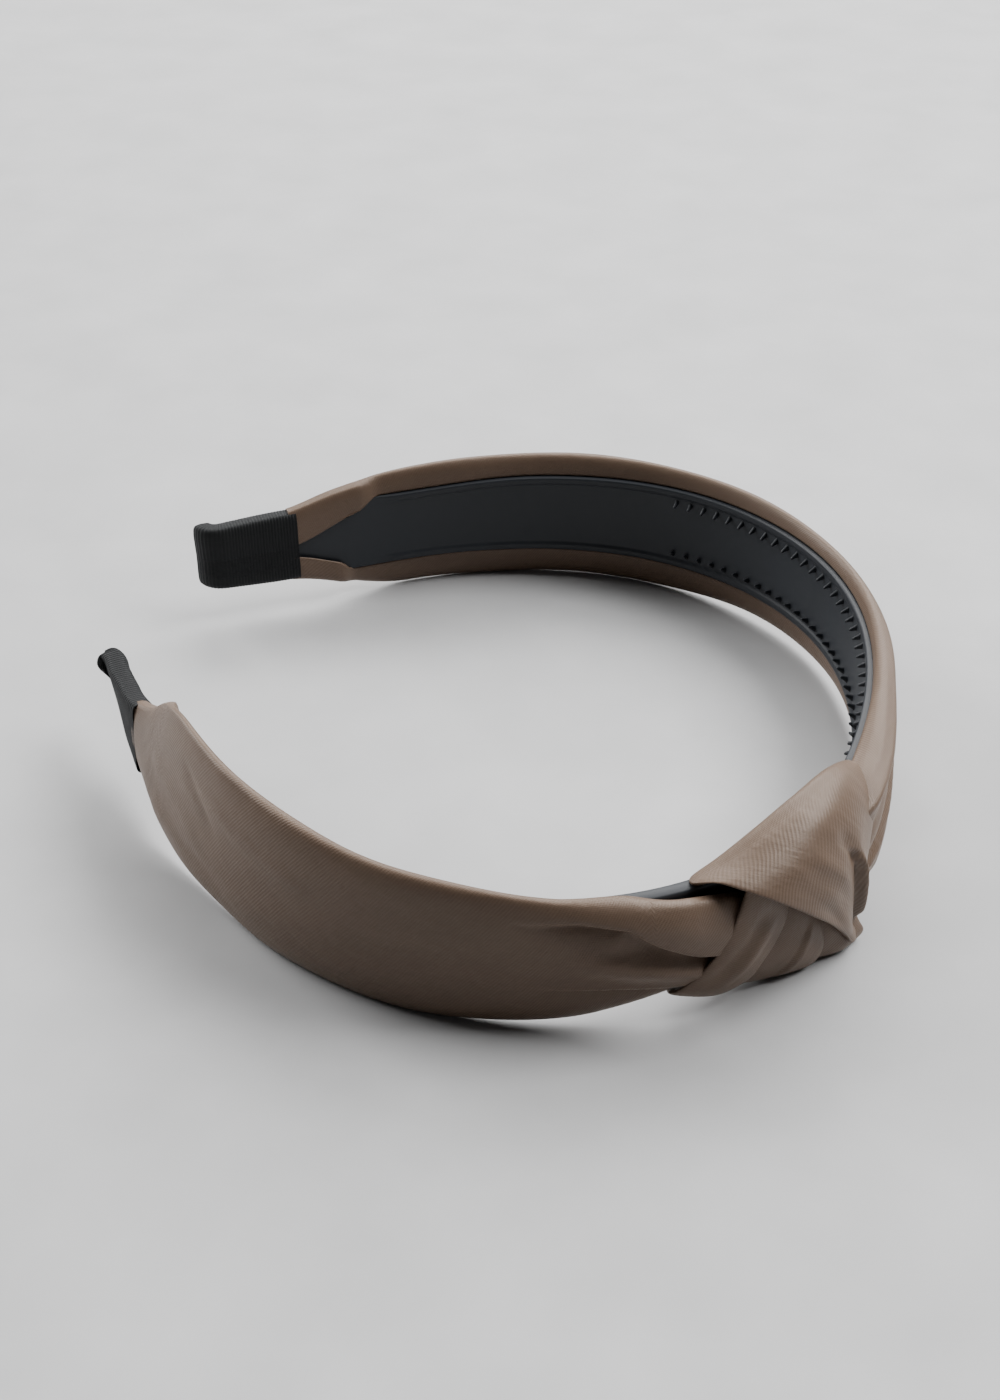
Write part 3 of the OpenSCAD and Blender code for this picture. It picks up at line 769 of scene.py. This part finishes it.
TUCK = 1.6  # how far a cover reaches in under its ribbon
hoop_left = finish(build_hoop("hoop_left", LEFT_END, JOIN), PLASTIC, "hoop_plastic",
                   "hoop_left_arm", "hoop_crown")
hoop_right = finish(build_hoop("hoop_right", JOIN, RIGHT_END), PLASTIC, "hoop_plastic",
                    "hoop_right_arm")
cover_left = finish(
    build_cover("cover_left", LEFT_END + LEFT_RIBBON - TUCK, -46, left_lips, left_folds),
    SATIN, "satin", "cover_left_crown", "cover_left_arm")
cover_right = finish(
    build_cover("cover_right", -33, RIGHT_END - RIGHT_RIBBON + TUCK, right_lips, right_folds),
    SATIN, "satin", "cover_right_crown", "cover_right_arm")
knot_over = finish(build_over(), SATIN, "satin", "knot_right_strand")
pleats = [finish(build_pleat(k), SATIN, "satin") for k in range(3)]
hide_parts("knot_left_strand")
ribbon_left = finish(build_ribbon("ribbon_left_wrap", LEFT_END, LEFT_END + LEFT_RIBBON),
                     BLACK, "ribbon", "ribbon_left")
ribbon_right = finish(build_ribbon("ribbon_right_wrap", RIGHT_END, RIGHT_END - RIGHT_RIBBON),
                      BLACK, "ribbon", "ribbon_right")
wadding_left = finish(build_wadding("wadding_left", -164, -76), WADDING, "wadding",
                      "padding_left_crown", "padding_left_arm")
wadding_right = finish(build_wadding("wadding_right", -28, 158), WADDING, "wadding",
                       "padding_right_crown", "padding_right_arm")
stitches = finish(build_stitches(), THREAD, "thread", "knot_stitches")

for piece in (hoop_left, cover_left, wadding_left):
    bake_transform(piece)
for piece in (hoop_right, cover_right, wadding_right):
    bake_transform(piece)
for piece in (knot_over, *pleats, stitches):
    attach(piece, "crown")
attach(ribbon_left, "left_arm")
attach(ribbon_right, "right_arm")

# ---------------------------------------------------------------- stage
R = 3.0  # half of the floor's width, in metres
floor = make("floor", [(-R, -R, 0), (R, -R, 0), (R, R, 0), (-R, R, 0)], [(0, 1, 2, 3)])
floor.data.materials.append(plain("floor", (.42, .42, .423), .6, 40))


def area_light(name, at, aim, size, power):
    light = bpy.data.lights.new(name, "AREA")
    light.shape, light.size, light.size_y = "RECTANGLE", size[0], size[1]
    light.energy = power
    obj = bpy.data.objects.new(name, light)
    obj.location = at
    obj.rotation_euler = (Vector(aim) - Vector(at)).to_track_quat("-Z", "Y").to_euler()
    bpy.context.scene.collection.objects.link(obj)


area_light("window", (.1, 1.2, 1.0), (0, 0, .01), (1.8, 1.0), 46)
area_light("side", (-1.3, .3, .75), (0, 0, .01), (.9, .9), 30)
area_light("far side", (.85, .38, 1.15), (0, 0, .01), (.7, .7), 29)
area_light("top", (-.2, .25, 1.5), (0, 0, 0), (.9, .9), 5)

world = bpy.data.worlds.new("world")
world.use_nodes = True
world.node_tree.nodes["Background"].inputs["Color"].default_value = (.95, .97, 1, 1)
world.node_tree.nodes["Background"].inputs["Strength"].default_value = .05
bpy.context.scene.world = world

# The photograph's point of view, in metres
cam = bpy.data.cameras.new("camera")
cam.sensor_width, cam.lens = 36, 50.97
cam.clip_start = .01
camera = bpy.data.objects.new("camera", cam)
camera.location = (.082163, -.302042, .235031)
aim = Vector((-.000724, -.001941, .015))
camera.rotation_euler = (aim - camera.location).to_track_quat("-Z", "Y").to_euler()
bpy.context.scene.collection.objects.link(camera)
bpy.context.scene.camera = camera
